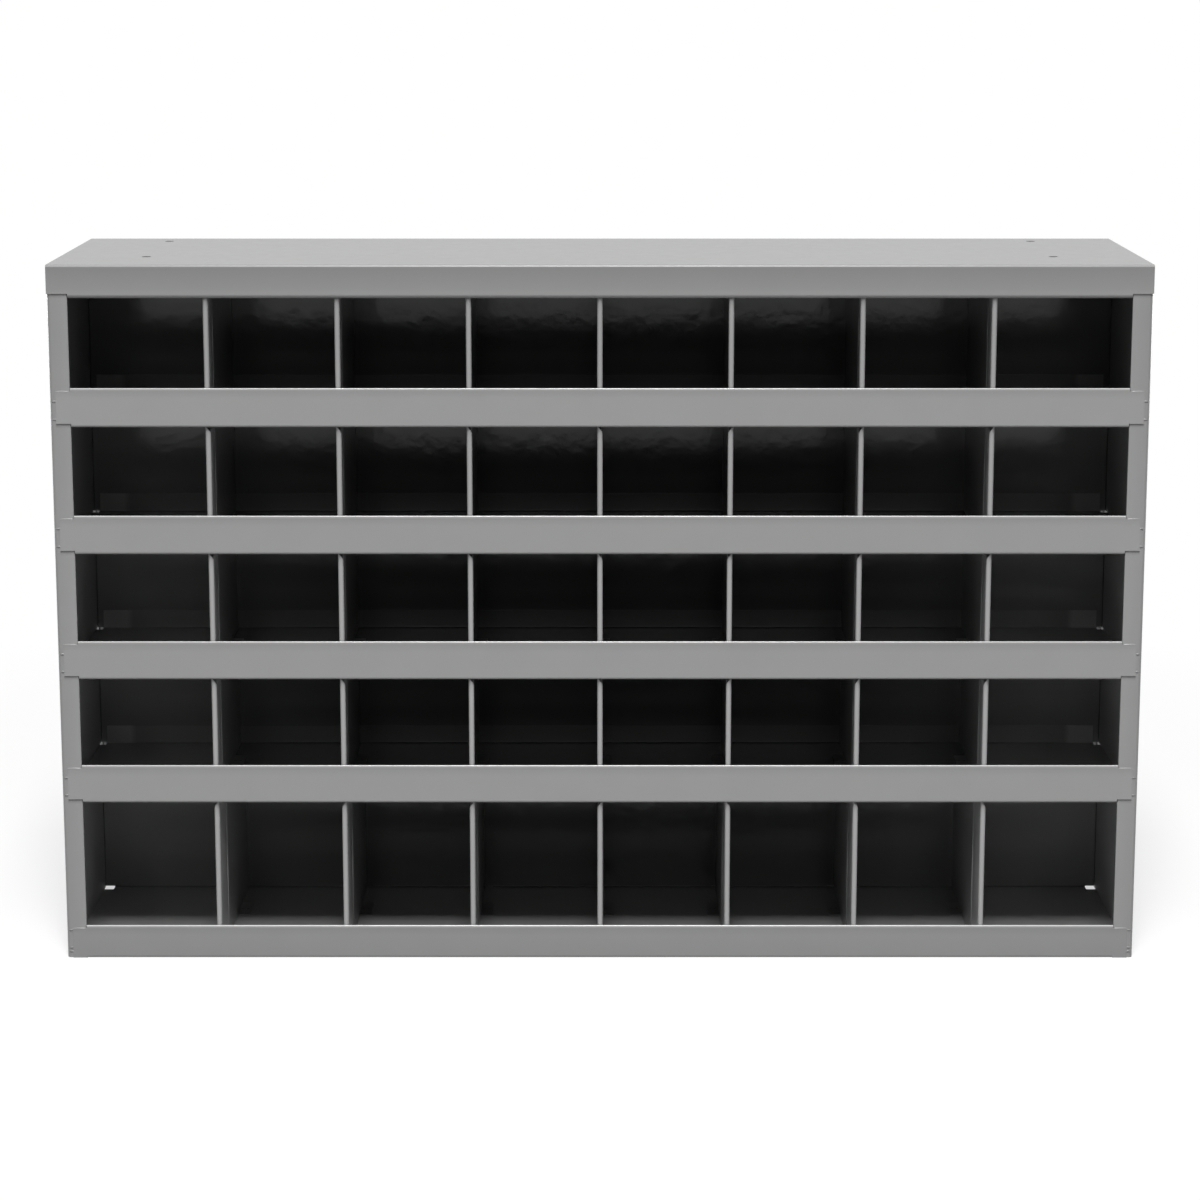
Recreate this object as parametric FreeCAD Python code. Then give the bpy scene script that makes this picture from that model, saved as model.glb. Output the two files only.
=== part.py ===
import FreeCAD, Part
import math
import os

# A welded sheet-steel bin with forty open compartments, five rows of eight, in millimetres.
# The frame: +Z is up, +Y points to the rear and the open fronts face -Y.
# The origin is on the ground under the middle of the footprint.
# Every piece is a bent sheet: its section is a centre line with rounded bends, thickened to the
# sheet's gauge and extruded. Pieces touch where they are spot-welded.

# Sheet stock, bending and clearances
SHEET = 0.9
DIVIDER_SHEET = 0.8
BEND_RADIUS = 1.0
CORNER_RADIUS = 2.1
HEM_GAP = 0.3
EDGE_CLEARANCE = 0.3

# Overall size, and the grid of compartments: the end columns and the bottom row take what is left
WIDTH = 857.0
DEPTH = 216.0
HEIGHT = 559.0
COLUMNS = 8
COLUMN_PITCH = 102.0
SHELVES = 4
ROW_PITCH = 101.0
REAR_RECESS = 35.0

# Side panels
SIDE_FLANGE = 16.0
SIDE_HEM = 9.0
SIDE_REAR_FLANGE = 14.0
SIDE_TOP_FLANGE = 15.0
FLANGE_RELIEF = 2.0

# Top panel
TOP_LIP = 26.0
TOP_RETURN = 14.0
TOP_END_TRIM = 3.6
TOP_REAR_LIP = 18.0
BOLT_HOLE = 7.4
BOLT_SIDE_INSET = 69.0
BOLT_FRONT_INSET = 63.5
BOLT_REAR_INSET = 25.5

# Shelves
SHELF_LIP = 30.8
BOTTOM_LIP = 27.0
LIP_HEM = 11.0
TAB_INSET = 4.8
TAB_FOOT_TRIM = 2.9
TAB_HEAD_TRIM = 2.6
SHELF_REAR_FLANGE = 16.0
SHELF_CORNER_NOTCH = 5.6
SHELF_CORNER_NOTCH_DEPTH = 8.0
BOTTOM_CORNER_NOTCH = 8.2
BOTTOM_CORNER_NOTCH_DEPTH = 6.5

# Back panel
BACK_FLANGE = 14.0
BACK_SLOT_HEIGHT = 4.0
BACK_SLOT_DEPTH = 8.0

# Dividers
DIVIDER_HEM = 4.4
DIVIDER_HEM_LEG = 42.0
DIVIDER_HEAD = 7.5
DIVIDER_HEAD_RUNOUT = 0.1
DIVIDER_FRONT_GAP = 0.5
DIVIDER_REAR_GAP = 2.8
WELD_TAB_WIDTH = 10.5
WELD_TAB_LENGTH = 32.0
WELD_TAB_REAR_INSET = 45.0
WELD_TAB_RISE = 5.0
WELD_TAB_RELIEF = 1.5

# Places that follow from the sizes above
FRONT = -DEPTH / 2
REAR = DEPTH / 2
SIDE = WIDTH / 2
BACK_FACE = REAR - REAR_RECESS
CEILING = HEIGHT - SHEET
HEM_THICKNESS = 2 * SHEET + HEM_GAP
HEM_STEP = SHEET + HEM_GAP
FLANGE_EDGE = SIDE - SIDE_FLANGE
FLANGE_BACK = FRONT + SHEET + HEM_THICKNESS
FLANGE_BEND_BACK = FRONT + 2 * SHEET + CORNER_RADIUS
DIVIDER_FRONT = FRONT + HEM_THICKNESS + DIVIDER_FRONT_GAP
DIVIDER_REAR = BACK_FACE - DIVIDER_REAR_GAP
WELD_TAB_END = BACK_FACE - WELD_TAB_REAR_INSET
WELD_TAB_START = WELD_TAB_END - WELD_TAB_LENGTH
OVERSHOOT = 1.0
ROWS = SHELVES + 1


def unit(a, b):
    """The direction from one point of a section to the next."""
    return (b - a).normalize()


def left_of(direction):
    """The direction a quarter turn to the left in a section's plane."""
    return FreeCAD.Vector(-direction.y, direction.x, 0)


def offset_line(points, distance):
    """A polyline moved to its left by a distance, with mitred corners."""
    moved = []
    last = len(points) - 1
    for i, point in enumerate(points):
        before = unit(points[i - 1], point) if i > 0 else unit(point, points[i + 1])
        after = unit(point, points[i + 1]) if i < last else before
        mitre = left_of(before) + left_of(after)
        moved.append(point + mitre * (2 * distance / mitre.Length ** 2))
    return moved


def turn_at(points, i):
    """The signed turn of a polyline at an inner point, positive to the left, in radians."""
    before = unit(points[i - 1], points[i])
    after = unit(points[i], points[i + 1])
    return math.atan2(before.x * after.y - before.y * after.x, before.dot(after))


def rounded_edges(points, radii, flat):
    """The edges of a polyline whose inner corners are arcs of the given radii, or their chords if flat."""
    edges = []
    start = points[0]
    for i in range(1, len(points) - 1):
        corner = points[i]
        before = unit(points[i - 1], corner)
        after = unit(corner, points[i + 1])
        turn = turn_at(points, i)
        reach = radii[i - 1] * math.tan(abs(turn) / 2)
        first = corner - before * reach
        second = corner + after * reach
        inward = left_of(before) * math.copysign(1.0, turn)
        sagitta = radii[i - 1] * (1 - math.cos(turn / 2))
        middle = first + before * (radii[i - 1] * math.sin(abs(turn) / 2)) + inward * sagitta
        if start.distanceToPoint(first) > 1e-6:
            edges.append(Part.LineSegment(start, first).toShape())
        if flat:
            edges.append(Part.LineSegment(first, second).toShape())
        else:
            edges.append(Part.Arc(first, middle, second).toShape())
        start = second
    edges.append(Part.LineSegment(start, points[-1]).toShape())
    return edges


def sheet_section(line, radii, thickness, flat_side=0):
    """The face of a bent sheet: a centre line of (u, v) points with centre-line bend radii, thickened.

    On flat_side, which is 1 for the left and -1 for the right, the bends are drawn as flats. This saves
    faces where a bend repeats and its inside is hidden.
    """
    points = [FreeCAD.Vector(u, v, 0) for u, v in line]
    turns = [math.copysign(1.0, turn_at(points, i)) for i in range(1, len(points) - 1)]
    half = thickness / 2
    left = offset_line(points, half)
    right = offset_line(points, -half)
    left_radii = [r - half * s for r, s in zip(radii, turns)]
    right_radii = [r + half * s for r, s in zip(radii, turns)]
    edges = rounded_edges(left, left_radii, flat_side > 0) + rounded_edges(right, right_radii, flat_side < 0)
    edges.append(Part.LineSegment(left[0], right[0]).toShape())
    edges.append(Part.LineSegment(left[-1], right[-1]).toShape())
    return Part.Face(Part.Wire(Part.__sortEdges__(edges)))


def extrude_up(face, bottom, top):
    """A section drawn in plan (x, y), extruded from one height to another."""
    solid = face.extrude(FreeCAD.Vector(0, 0, top - bottom))
    solid.translate(FreeCAD.Vector(0, 0, bottom))
    return solid


def extrude_across(face, start, end):
    """A section drawn as (y, z), extruded along X."""
    turned = face.copy()
    turned.rotate(FreeCAD.Vector(0, 0, 0), FreeCAD.Vector(1, 1, 1), 120)
    solid = turned.extrude(FreeCAD.Vector(end - start, 0, 0))
    solid.translate(FreeCAD.Vector(start, 0, 0))
    return solid


def extrude_back(face, start, end):
    """A section drawn as (x, z), extruded along Y."""
    turned = face.copy()
    turned.rotate(FreeCAD.Vector(0, 0, 0), FreeCAD.Vector(1, 0, 0), 90)
    solid = turned.extrude(FreeCAD.Vector(0, end - start, 0))
    solid.translate(FreeCAD.Vector(0, start, 0))
    return solid


def block(x0, x1, y0, y1, z0, z1):
    """A box between two corners, in any order."""
    low = FreeCAD.Vector(min(x0, x1), min(y0, y1), min(z0, z1))
    return Part.makeBox(abs(x1 - x0), abs(y1 - y0), abs(z1 - z0), low)


def on_both_sides(shape):
    """A shape and its mirror image in the plane x = 0."""
    return [shape, mirrored(shape)]


def mirrored(shape):
    """The mirror image of a shape in the plane x = 0."""
    return shape.mirror(FreeCAD.Vector(0, 0, 0), FreeCAD.Vector(1, 0, 0))


def shelf_level(shelf):
    """The underside of an intermediate shelf, where shelf 1 is the top one."""
    return HEIGHT - TOP_LIP - shelf * ROW_PITCH


def side_panel():
    """The left side: a wall with a hemmed front flange, a rear flange and a flange under the top panel."""
    half = SHEET / 2
    wall = -SIDE + half
    front = FRONT + SHEET + half
    rear = REAR - SHEET - half
    edge = -FLANGE_EDGE - half
    plan = [
        (-FLANGE_EDGE - SIDE_HEM, front + HEM_STEP),
        (edge, front + HEM_STEP),
        (edge, front),
        (wall, front),
        (wall, rear),
        (-SIDE + SIDE_REAR_FLANGE, rear),
    ]
    bends = [HEM_STEP / 2, HEM_STEP / 2, CORNER_RADIUS + half, BEND_RADIUS + half]
    panel = extrude_up(sheet_section(plan, bends, SHEET), 0, CEILING - BEND_RADIUS)

    bend_height = BEND_RADIUS + SHEET
    flange_front = FLANGE_BACK + FLANGE_RELIEF
    flange_rear = rear - half - BEND_RADIUS - FLANGE_RELIEF
    folded = [
        (wall, CEILING - bend_height),
        (wall, CEILING - half),
        (-SIDE + SIDE_TOP_FLANGE, CEILING - half),
    ]
    flange = extrude_back(sheet_section(folded, [BEND_RADIUS + half], SHEET), flange_front, flange_rear)
    gap = block(-SIDE - OVERSHOOT, -SIDE + bend_height, flange_front - FLANGE_RELIEF,
                flange_rear + FLANGE_RELIEF, CEILING - bend_height, CEILING + OVERSHOOT)
    return panel.cut(gap).fuse(flange).removeSplitter()


def top_panel():
    """The top: a sheet with a front lip and its return, a rear lip and four bolt holes."""
    half = SHEET / 2
    section = [
        (FRONT + TOP_RETURN, HEIGHT - TOP_LIP + half),
        (FRONT + half, HEIGHT - TOP_LIP + half),
        (FRONT + half, HEIGHT - half),
        (REAR - half, HEIGHT - half),
        (REAR - half, HEIGHT - TOP_REAR_LIP),
    ]
    bends = [CORNER_RADIUS + half, BEND_RADIUS + half, BEND_RADIUS + half]
    panel = extrude_across(sheet_section(section, bends, SHEET), -SIDE, SIDE)
    trim = block(-SIDE - OVERSHOOT, -FLANGE_EDGE + EDGE_CLEARANCE,
                 FRONT - OVERSHOOT, FRONT + TOP_RETURN + OVERSHOOT,
                 HEIGHT - TOP_LIP - OVERSHOOT, HEIGHT - TOP_LIP + TOP_END_TRIM)
    return panel.cut(on_both_sides(trim) + bolt_holes())


def bolt_holes():
    """The cutters for the rectangle of bolt holes in the top panel."""
    cutters = []
    for x in (-SIDE + BOLT_SIDE_INSET, SIDE - BOLT_SIDE_INSET):
        for y in (FRONT + BOLT_FRONT_INSET, REAR - BOLT_REAR_INSET):
            foot = FreeCAD.Vector(x, y, CEILING - OVERSHOOT)
            cutters.append(Part.makeCylinder(BOLT_HOLE / 2, SHEET + 2 * OVERSHOOT, foot))
    return cutters


def back_panel():
    """The back: a sheet that stands on the bottom shelf's rear bend, with a flange along each side wall."""
    half = SHEET / 2
    wall = SIDE - SHEET - half
    plan = [
        (-wall, BACK_FACE + BACK_FLANGE),
        (-wall, BACK_FACE + half),
        (wall, BACK_FACE + half),
        (wall, BACK_FACE + BACK_FLANGE),
    ]
    bends = [BEND_RADIUS + half, BEND_RADIUS + half]
    panel = extrude_up(sheet_section(plan, bends, SHEET), SHEET + BEND_RADIUS, CEILING)
    under_flange = CEILING - SHEET - BEND_RADIUS - EDGE_CLEARANCE
    head_notch = block(-SIDE, -SIDE + SIDE_TOP_FLANGE + EDGE_CLEARANCE, BACK_FACE - OVERSHOOT,
                       BACK_FACE + BACK_FLANGE + OVERSHOOT, under_flange, CEILING + OVERSHOOT)
    cutters = on_both_sides(head_notch)
    for shelf in range(1, SHELVES + 1):
        level = shelf_level(shelf)
        slot = block(-SIDE, -SIDE + SHEET + SHELF_CORNER_NOTCH,
                     BACK_FACE - OVERSHOOT, BACK_FACE + BACK_SLOT_DEPTH,
                     level + SHEET - BACK_SLOT_HEIGHT, level + SHEET)
        cutters += on_both_sides(slot)
    return panel.cut(cutters)


def shelf(level, lip, rear_line, foot_trim, notch, notch_depth):
    """A floor with a hemmed front lip, end tabs that lap the side flanges, and a rear upturn on rear_line."""
    half = SHEET / 2
    front = FRONT + half
    section = [
        (rear_line, level + SHELF_REAR_FLANGE),
        (rear_line, level + half),
        (front, level + half),
        (front, level + lip - half),
        (front + HEM_STEP, level + lip - half),
        (front + HEM_STEP, level + lip - LIP_HEM),
    ]
    bends = [BEND_RADIUS + half, BEND_RADIUS + half, HEM_STEP / 2, HEM_STEP / 2]
    end = SIDE - SHEET
    sheet = extrude_across(sheet_section(section, bends, SHEET), -end, end)

    lip_end = FLANGE_EDGE - EDGE_CLEARANCE
    above = level + lip + OVERSHOOT
    below = level - OVERSHOOT
    corner_rear = max(FLANGE_BACK, FLANGE_BEND_BACK) + EDGE_CLEARANCE
    front_corner = block(-SIDE, -lip_end, FRONT - OVERSHOOT, corner_rear, below, above)
    rear_corner = block(-SIDE, -SIDE + SHEET + notch,
                        BACK_FACE - notch_depth, BACK_FACE + SHELF_REAR_FLANGE, below, above)
    tab = block(-SIDE + TAB_INSET, -lip_end, FRONT, FRONT + SHEET,
                level + foot_trim, level + lip - TAB_HEAD_TRIM)
    cut = sheet.cut(on_both_sides(front_corner) + on_both_sides(rear_corner))
    return cut.fuse(on_both_sides(tab)).removeSplitter()


def intermediate_shelf(number):
    """One of the shelves between two rows, with its rear upturn in front of the back panel."""
    return shelf(shelf_level(number), SHELF_LIP, BACK_FACE - SHEET / 2, TAB_FOOT_TRIM,
                 SHELF_CORNER_NOTCH, SHELF_CORNER_NOTCH_DEPTH)


def bottom_shelf():
    """The bottom of the bin, with its rear upturn behind the back panel."""
    return shelf(0.0, BOTTOM_LIP, BACK_FACE + SHEET + SHEET / 2, 0.0,
                 BOTTOM_CORNER_NOTCH, BOTTOM_CORNER_NOTCH_DEPTH)


def weld_tab(web, hand, face, up):
    """A tab folded from the web onto a floor (up = 1) or a ceiling (up = -1), which lies at height face.

    The fold is drawn sharp, because the bin has seventy of these small tabs.
    """
    half = DIVIDER_SHEET / 2
    leg = block(web - half, web + half, WELD_TAB_START, WELD_TAB_END,
                face, face + up * (WELD_TAB_RISE + OVERSHOOT))
    foot = block(web - hand * half, web + hand * (WELD_TAB_WIDTH - half), WELD_TAB_START, WELD_TAB_END,
                 face, face + up * DIVIDER_SHEET)
    return leg.fuse(foot)


def weld_tab_window(web, face, up):
    """The cut in the web around a tab's fold, with a relief at each end."""
    return block(web - DIVIDER_SHEET, web + DIVIDER_SHEET,
                 WELD_TAB_START - WELD_TAB_RELIEF, WELD_TAB_END + WELD_TAB_RELIEF,
                 face - up * OVERSHOOT, face + up * WELD_TAB_RISE)


def rounded_head(web, hand, head):
    """The cutter that rounds a hem off to nothing at the height head: a block less a cylinder.

    The arc starts on the web, and DIVIDER_HEAD lower it stands upright a little past the hem, so that
    the two surfaces cross at an angle.
    """
    beside = web + hand * DIVIDER_SHEET / 2
    foot = head - DIVIDER_HEAD
    reach = DIVIDER_HEM - DIVIDER_SHEET + DIVIDER_HEAD_RUNOUT
    radius = (reach ** 2 + DIVIDER_HEAD ** 2) / (2 * reach)
    centre = FreeCAD.Vector(beside + hand * (reach - radius), FRONT, foot)
    kept = Part.makeCylinder(radius, DIVIDER_REAR - FRONT, centre, FreeCAD.Vector(0, 1, 0))
    around = block(beside, beside + hand * 2 * DIVIDER_HEM, FRONT, DIVIDER_REAR, foot, head + OVERSHOOT)
    return around.cut(kept)


def return_step(web, head):
    """The cut above the height head that takes a divider behind the return of the top panel's lip."""
    return block(web - 2 * DIVIDER_HEM, web + 2 * DIVIDER_HEM,
                 FRONT, FRONT + TOP_RETURN + DIVIDER_FRONT_GAP, head, CEILING + OVERSHOOT)


def divider(centre, floor, ceiling, hem_hand, tab_hand):
    """A partition with a rolled front hem, which turns to hem_hand, and weld tabs, which turn to tab_hand.

    Below a shelf the hem is rounded off, and below the top panel the whole front steps back behind the
    lip's return.
    """
    roll = DIVIDER_HEM - DIVIDER_SHEET
    web = centre - hem_hand * roll / 2
    front = DIVIDER_FRONT + DIVIDER_SHEET / 2
    plan = [
        (web, DIVIDER_REAR),
        (web, front),
        (web + hem_hand * roll, front),
        (web + hem_hand * (DIVIDER_SHEET + HEM_GAP), front + DIVIDER_HEM_LEG),
    ]
    lean = math.atan2(roll - DIVIDER_SHEET - HEM_GAP, DIVIDER_HEM_LEG)
    roll_radius = roll / (1 + math.tan(math.pi / 4 + lean / 2))
    section = sheet_section(plan, [roll_radius, roll_radius], DIVIDER_SHEET, flat_side=hem_hand)
    sheet = extrude_up(section, floor, ceiling - EDGE_CLEARANCE)

    if ceiling == CEILING:
        head = return_step(web, HEIGHT - TOP_LIP - EDGE_CLEARANCE)
    else:
        head = rounded_head(web, hem_hand, ceiling - EDGE_CLEARANCE)
    windows = [weld_tab_window(web, floor, 1), weld_tab_window(web, ceiling, -1)]
    tabs = [weld_tab(web, tab_hand, floor, 1), weld_tab(web, tab_hand, ceiling, -1)]
    return sheet.cut([head] + windows).fuse(tabs).removeSplitter()


def row_divider(row, column):
    """The divider of one row and column, where row 1 is at the top.

    The weld tabs turn towards the middle of the bin, and so do the hems, but the bottom row's turn away.
    """
    middle = COLUMNS / 2
    inward = 1 if column <= middle else -1
    at_bottom = row == ROWS
    floor = (0.0 if at_bottom else shelf_level(row)) + SHEET
    ceiling = CEILING if row == 1 else shelf_level(row - 1)
    hem_hand = -inward if at_bottom else inward
    return divider((column - middle) * COLUMN_PITCH, floor, ceiling, hem_hand, inward)


def all_parts():
    """Every piece of the bin by its name."""
    left = side_panel()
    parts = {
        "side_panel_left": left,
        "side_panel_right": mirrored(left),
        "top_panel": top_panel(),
        "back_panel": back_panel(),
        "bottom_shelf": bottom_shelf(),
    }
    for number in range(1, SHELVES + 1):
        parts[f"shelf_{number}"] = intermediate_shelf(number)
    for row in range(1, ROWS + 1):
        for column in range(1, COLUMNS):
            parts[f"row_{row}_divider_{column}"] = row_divider(row, column)
    return parts


os.makedirs("parts", exist_ok=True)
for name, shape in all_parts().items():
    shape.exportStep(f"parts/{name}.step")
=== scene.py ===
import logging
import math
from collections.abc import Sequence
from dataclasses import dataclass
from enum import Enum

import bpy
import numpy as np
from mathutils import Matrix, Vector


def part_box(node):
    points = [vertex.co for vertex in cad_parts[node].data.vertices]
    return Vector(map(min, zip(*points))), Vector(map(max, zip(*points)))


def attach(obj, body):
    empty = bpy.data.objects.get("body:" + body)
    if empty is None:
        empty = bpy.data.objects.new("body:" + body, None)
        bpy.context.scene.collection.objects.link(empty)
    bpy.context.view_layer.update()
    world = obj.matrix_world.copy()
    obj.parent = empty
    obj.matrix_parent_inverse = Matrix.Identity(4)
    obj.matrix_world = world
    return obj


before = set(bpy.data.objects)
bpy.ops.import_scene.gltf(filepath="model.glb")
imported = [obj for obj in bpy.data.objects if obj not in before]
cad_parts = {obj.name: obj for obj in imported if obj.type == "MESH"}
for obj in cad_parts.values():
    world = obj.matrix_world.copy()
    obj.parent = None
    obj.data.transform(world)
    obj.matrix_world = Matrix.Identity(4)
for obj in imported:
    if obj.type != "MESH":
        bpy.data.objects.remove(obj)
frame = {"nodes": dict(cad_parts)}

Node = bpy.types.Node
Socket = bpy.types.NodeSocket
Amount = float | Socket
Triple = tuple[float, float, float]

LOG = logging.getLogger("divider_bin")
BODY = "root"
MM = 0.001

# The grid of compartments, and the sheets that have a lip along their front.
COLUMNS = 8
ROWS = 5
COLUMN_PITCH = 102.0 * MM
SHELVES = ("shelf_1", "shelf_2", "shelf_3", "shelf_4")
LIPPED = SHELVES + ("bottom_shelf",)

# The finish: waves per metre of two noises, how much finer gloss patches are than clouds, the middle
# of a noise, how quickly dust thins on a slope, how much it dulls, and the refraction of enamel.
WAVE_SCALE = 9.0
SPECK_SCALE = 140.0
PATCH_FINENESS = 3.7
NOISE_MIDDLE = 0.5
DUST_FALL = 4.0
DUST_DULLING = 0.5
ENAMEL_IOR = 1.5
WHITE = (1.0, 1.0, 1.0, 1.0)

# The steps of the round shapes, and a pressed spot's profile as shares of its radius and relief.
BALL_AROUND = 12
BALL_STEPS = 8
SPOT_AROUND = 14
ROD_AROUND = 10
SPOT_PROFILE = np.array([[0.0, 0.02], [0.5, 0.03], [0.78, 0.09], [0.92, 0.08],
                         [1.0, 0.0], [1.0, -0.2], [0.0, -0.2]])


class Coat(Enum):
    """The enamel coats of the bin, one for each kind of sheet, and one for the weld marks."""

    SIDE = "side_enamel"
    BACK = "back_enamel"
    TOP = "top_enamel"
    SHELF = "shelf_enamel"
    BOTTOM = "bottom_enamel"
    DIVIDER = "divider_enamel"
    WELD = "weld_enamel"


class Along(Enum):
    """The way along which a ramp of painted shade changes: up, away from the middle, or from front to
    back.
    """

    UP = "up"
    ASIDE = "aside"
    BACK = "back"


class Grain(Enum):
    """The noises of the finish: how many octaves each has, and how strong the finer ones are."""

    PEEL = (2.0, 0.45)
    WAVE = (1.0, 0.4)
    CLOUD = (4.0, 0.55)
    PATCH = (3.0, 0.6)
    SPECK = (5.0, 0.7)


class NodeTree:
    """A short way to add and join nodes of a shader tree."""

    def __init__(self, tree: bpy.types.NodeTree) -> None:
        """Takes the tree that the nodes go into."""
        self.tree = tree

    def add(self, kind: str, **values: object) -> Node:
        """Adds a node and sets its properties.

        Args:
            kind: The node's type name.
            values: Properties of the node by name.

        Returns:
            The new node.
        """
        node = self.tree.nodes.new(kind)
        for name, value in values.items():
            setattr(node, name, value)
        return node

    def join(self, source: Socket, target: Socket) -> None:
        """Links an output socket to an input socket."""
        self.tree.links.new(source, target)

    def feed(self, target: Socket, value: Amount) -> None:
        """Gives an input a socket to read, or a number.

        Args:
            target: The input.
            value: The socket or the number.
        """
        if isinstance(value, Socket):
            self.join(value, target)
        else:
            target.default_value = value

    def math(self, operation: str, first: Amount, second: Amount | None = None) -> Socket:
        """Adds a Math node.

        Args:
            operation: The node's operation.
            first: A socket or a number.
            second: A socket or a number, where the operation takes two.

        Returns:
            The node's output.
        """
        node = self.add("ShaderNodeMath", operation=operation)
        for socket, value in zip(node.inputs, (first, second)):
            if value is not None:
                self.feed(socket, value)
        return node.outputs[0]

    def product(self, first: Amount, *others: Amount) -> Socket:
        """Adds the product of sockets and numbers.

        Args:
            first: The first factor.
            others: The factors after it, in order.

        Returns:
            The product.
        """
        for other in others:
            first = self.math("MULTIPLY", first, other)
        return first

    def raised(self, mask: Amount, gain: Amount) -> Socket:
        """Adds a factor of 1 plus a mask times a gain."""
        return self.math("ADD", self.math("MULTIPLY", mask, gain), 1.0)

    def share(self, value: Amount, start: Amount, length: Amount) -> Socket:
        """Adds the share, from 0 to 1, of the way that a value has gone from a start over a length."""
        gone = self.math("DIVIDE", self.math("SUBTRACT", value, start), length)
        return self.math("MINIMUM", self.math("MAXIMUM", gone, 0.0), 1.0)

    def parts(self, place: Socket) -> tuple[Socket, ...]:
        """Adds the parts of a vector.

        Args:
            place: Coordinates or a direction.

        Returns:
            Its X, Y and Z.
        """
        split = self.add("ShaderNodeSeparateXYZ")
        self.join(place, split.inputs[0])
        return tuple(split.outputs)

    def tipped(self, place: Socket, along: Along) -> Socket:
        """Adds coordinates whose height is the distance from the plane x = 0, or y.

        Args:
            place: The coordinates to read.
            along: Which of the two, or up for the coordinates as they are.

        Returns:
            The new coordinates.
        """
        if along is Along.UP:
            return place
        x, y, _ = self.parts(place)
        merged = self.add("ShaderNodeCombineXYZ")
        height = self.math("ABSOLUTE", x) if along is Along.ASIDE else y
        self.join(height, merged.inputs["Z"])
        return merged.outputs["Vector"]

    def noise(self, place: Socket, scale: Amount, grain: Grain) -> Socket:
        """Adds a Noise Texture.

        Args:
            place: The coordinates that it reads.
            scale: Waves per metre.
            grain: Its octaves.

        Returns:
            The noise's value, from 0 to 1.
        """
        node = self.add("ShaderNodeTexNoise")
        self.join(place, node.inputs["Vector"])
        self.feed(node.inputs["Scale"], scale)
        detail, rough = grain.value
        node.inputs["Detail"].default_value = detail
        node.inputs["Roughness"].default_value = rough
        return node.outputs["Fac"]


class EffectGroup:
    """A shader node group with named inputs and outputs, built once for several materials."""

    def __init__(self, name: str, inputs: dict[str, float], outputs: tuple[str, ...]) -> None:
        """Makes the group, with its sockets and no effect yet.

        Args:
            name: The group's name.
            inputs: Value inputs with their defaults.
            outputs: Names of the value outputs.
        """
        self.tree = bpy.data.node_groups.new(name, "ShaderNodeTree")
        face = self.tree.interface
        face.new_socket("Position", in_out="INPUT", socket_type="NodeSocketVector")
        for socket, value in inputs.items():
            made = face.new_socket(socket, in_out="INPUT", socket_type="NodeSocketFloat")
            made.default_value = value
        for socket in outputs:
            face.new_socket(socket, in_out="OUTPUT", socket_type="NodeSocketFloat")
        self.nodes = NodeTree(self.tree)
        self.given = self.nodes.add("NodeGroupInput").outputs
        self.sink = self.nodes.add("NodeGroupOutput").inputs

    def place(self, nodes: NodeTree, position: Socket, **values: float) -> Node:
        """Puts the group into a material.

        Args:
            nodes: The material's tree.
            position: The coordinates that the effect reads.
            values: Values of the group's inputs, with _ for a space in a name.

        Returns:
            The group node.
        """
        node = nodes.add("ShaderNodeGroup", node_tree=self.tree)
        nodes.join(position, node.inputs["Position"])
        for name, value in values.items():
            node.inputs[name.replace("_", " ")].default_value = value
        return node


def orange_peel_group() -> EffectGroup:
    """The skin of sprayed enamel: fine rounded bumps over a broad, faint wave of the sheet.

    The height is the peel depth times a noise of the peel's scale, plus the wave depth times a
    noise of about a hand's breadth.

    Returns:
        The group, whose Height is in metres.
    """
    values = {"Peel Depth": 6e-6, "Peel Scale": 620.0, "Wave Depth": 1e-4}
    group = EffectGroup("orange_peel", values, ("Height",))
    nodes, given = group.nodes, group.given
    peel = nodes.noise(given["Position"], given["Peel Scale"], Grain.PEEL)
    wave = nodes.noise(given["Position"], WAVE_SCALE, Grain.WAVE)
    fine = nodes.math("MULTIPLY", peel, given["Peel Depth"])
    broad = nodes.math("MULTIPLY", wave, given["Wave Depth"])
    nodes.join(nodes.math("ADD", fine, broad), group.sink["Height"])
    return group


def mottle_group() -> EffectGroup:
    """Cloudy variation of an enamel: its tone goes up and down by a share around 1.

    The tone is 1 plus the amount times a noise centred on 0. The gloss is a second, finer noise.

    Returns:
        The group, with Tone, and with Gloss from 0 to 1.
    """
    group = EffectGroup("mottle", {"Amount": 0.06, "Scale": 30.0}, ("Tone", "Gloss"))
    nodes, given = group.nodes, group.given
    cloud = nodes.noise(given["Position"], given["Scale"], Grain.CLOUD)
    swing = nodes.math("SUBTRACT", cloud, NOISE_MIDDLE)
    nodes.join(nodes.raised(swing, given["Amount"]), group.sink["Tone"])
    finer = nodes.math("MULTIPLY", given["Scale"], PATCH_FINENESS)
    patch = nodes.noise(given["Position"], finer, Grain.PATCH)
    nodes.join(patch, group.sink["Gloss"])
    return group


def dust_group() -> EffectGroup:
    """Dust that has settled on faces that look up.

    The mask is the upward part of the normal, to a power that thins it on slopes, times a noise and
    the amount.

    Returns:
        The group, with Mask from 0 to 1.
    """
    group = EffectGroup("dust", {"Amount": 0.1}, ("Mask",))
    nodes, given = group.nodes, group.given
    _, _, up = nodes.parts(nodes.add("ShaderNodeNewGeometry").outputs["Normal"])
    upward = nodes.math("POWER", nodes.math("MAXIMUM", up, 0.0), DUST_FALL)
    speck = nodes.noise(given["Position"], SPECK_SCALE, Grain.SPECK)
    nodes.join(nodes.product(upward, speck, given["Amount"]), group.sink["Mask"])
    return group


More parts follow.
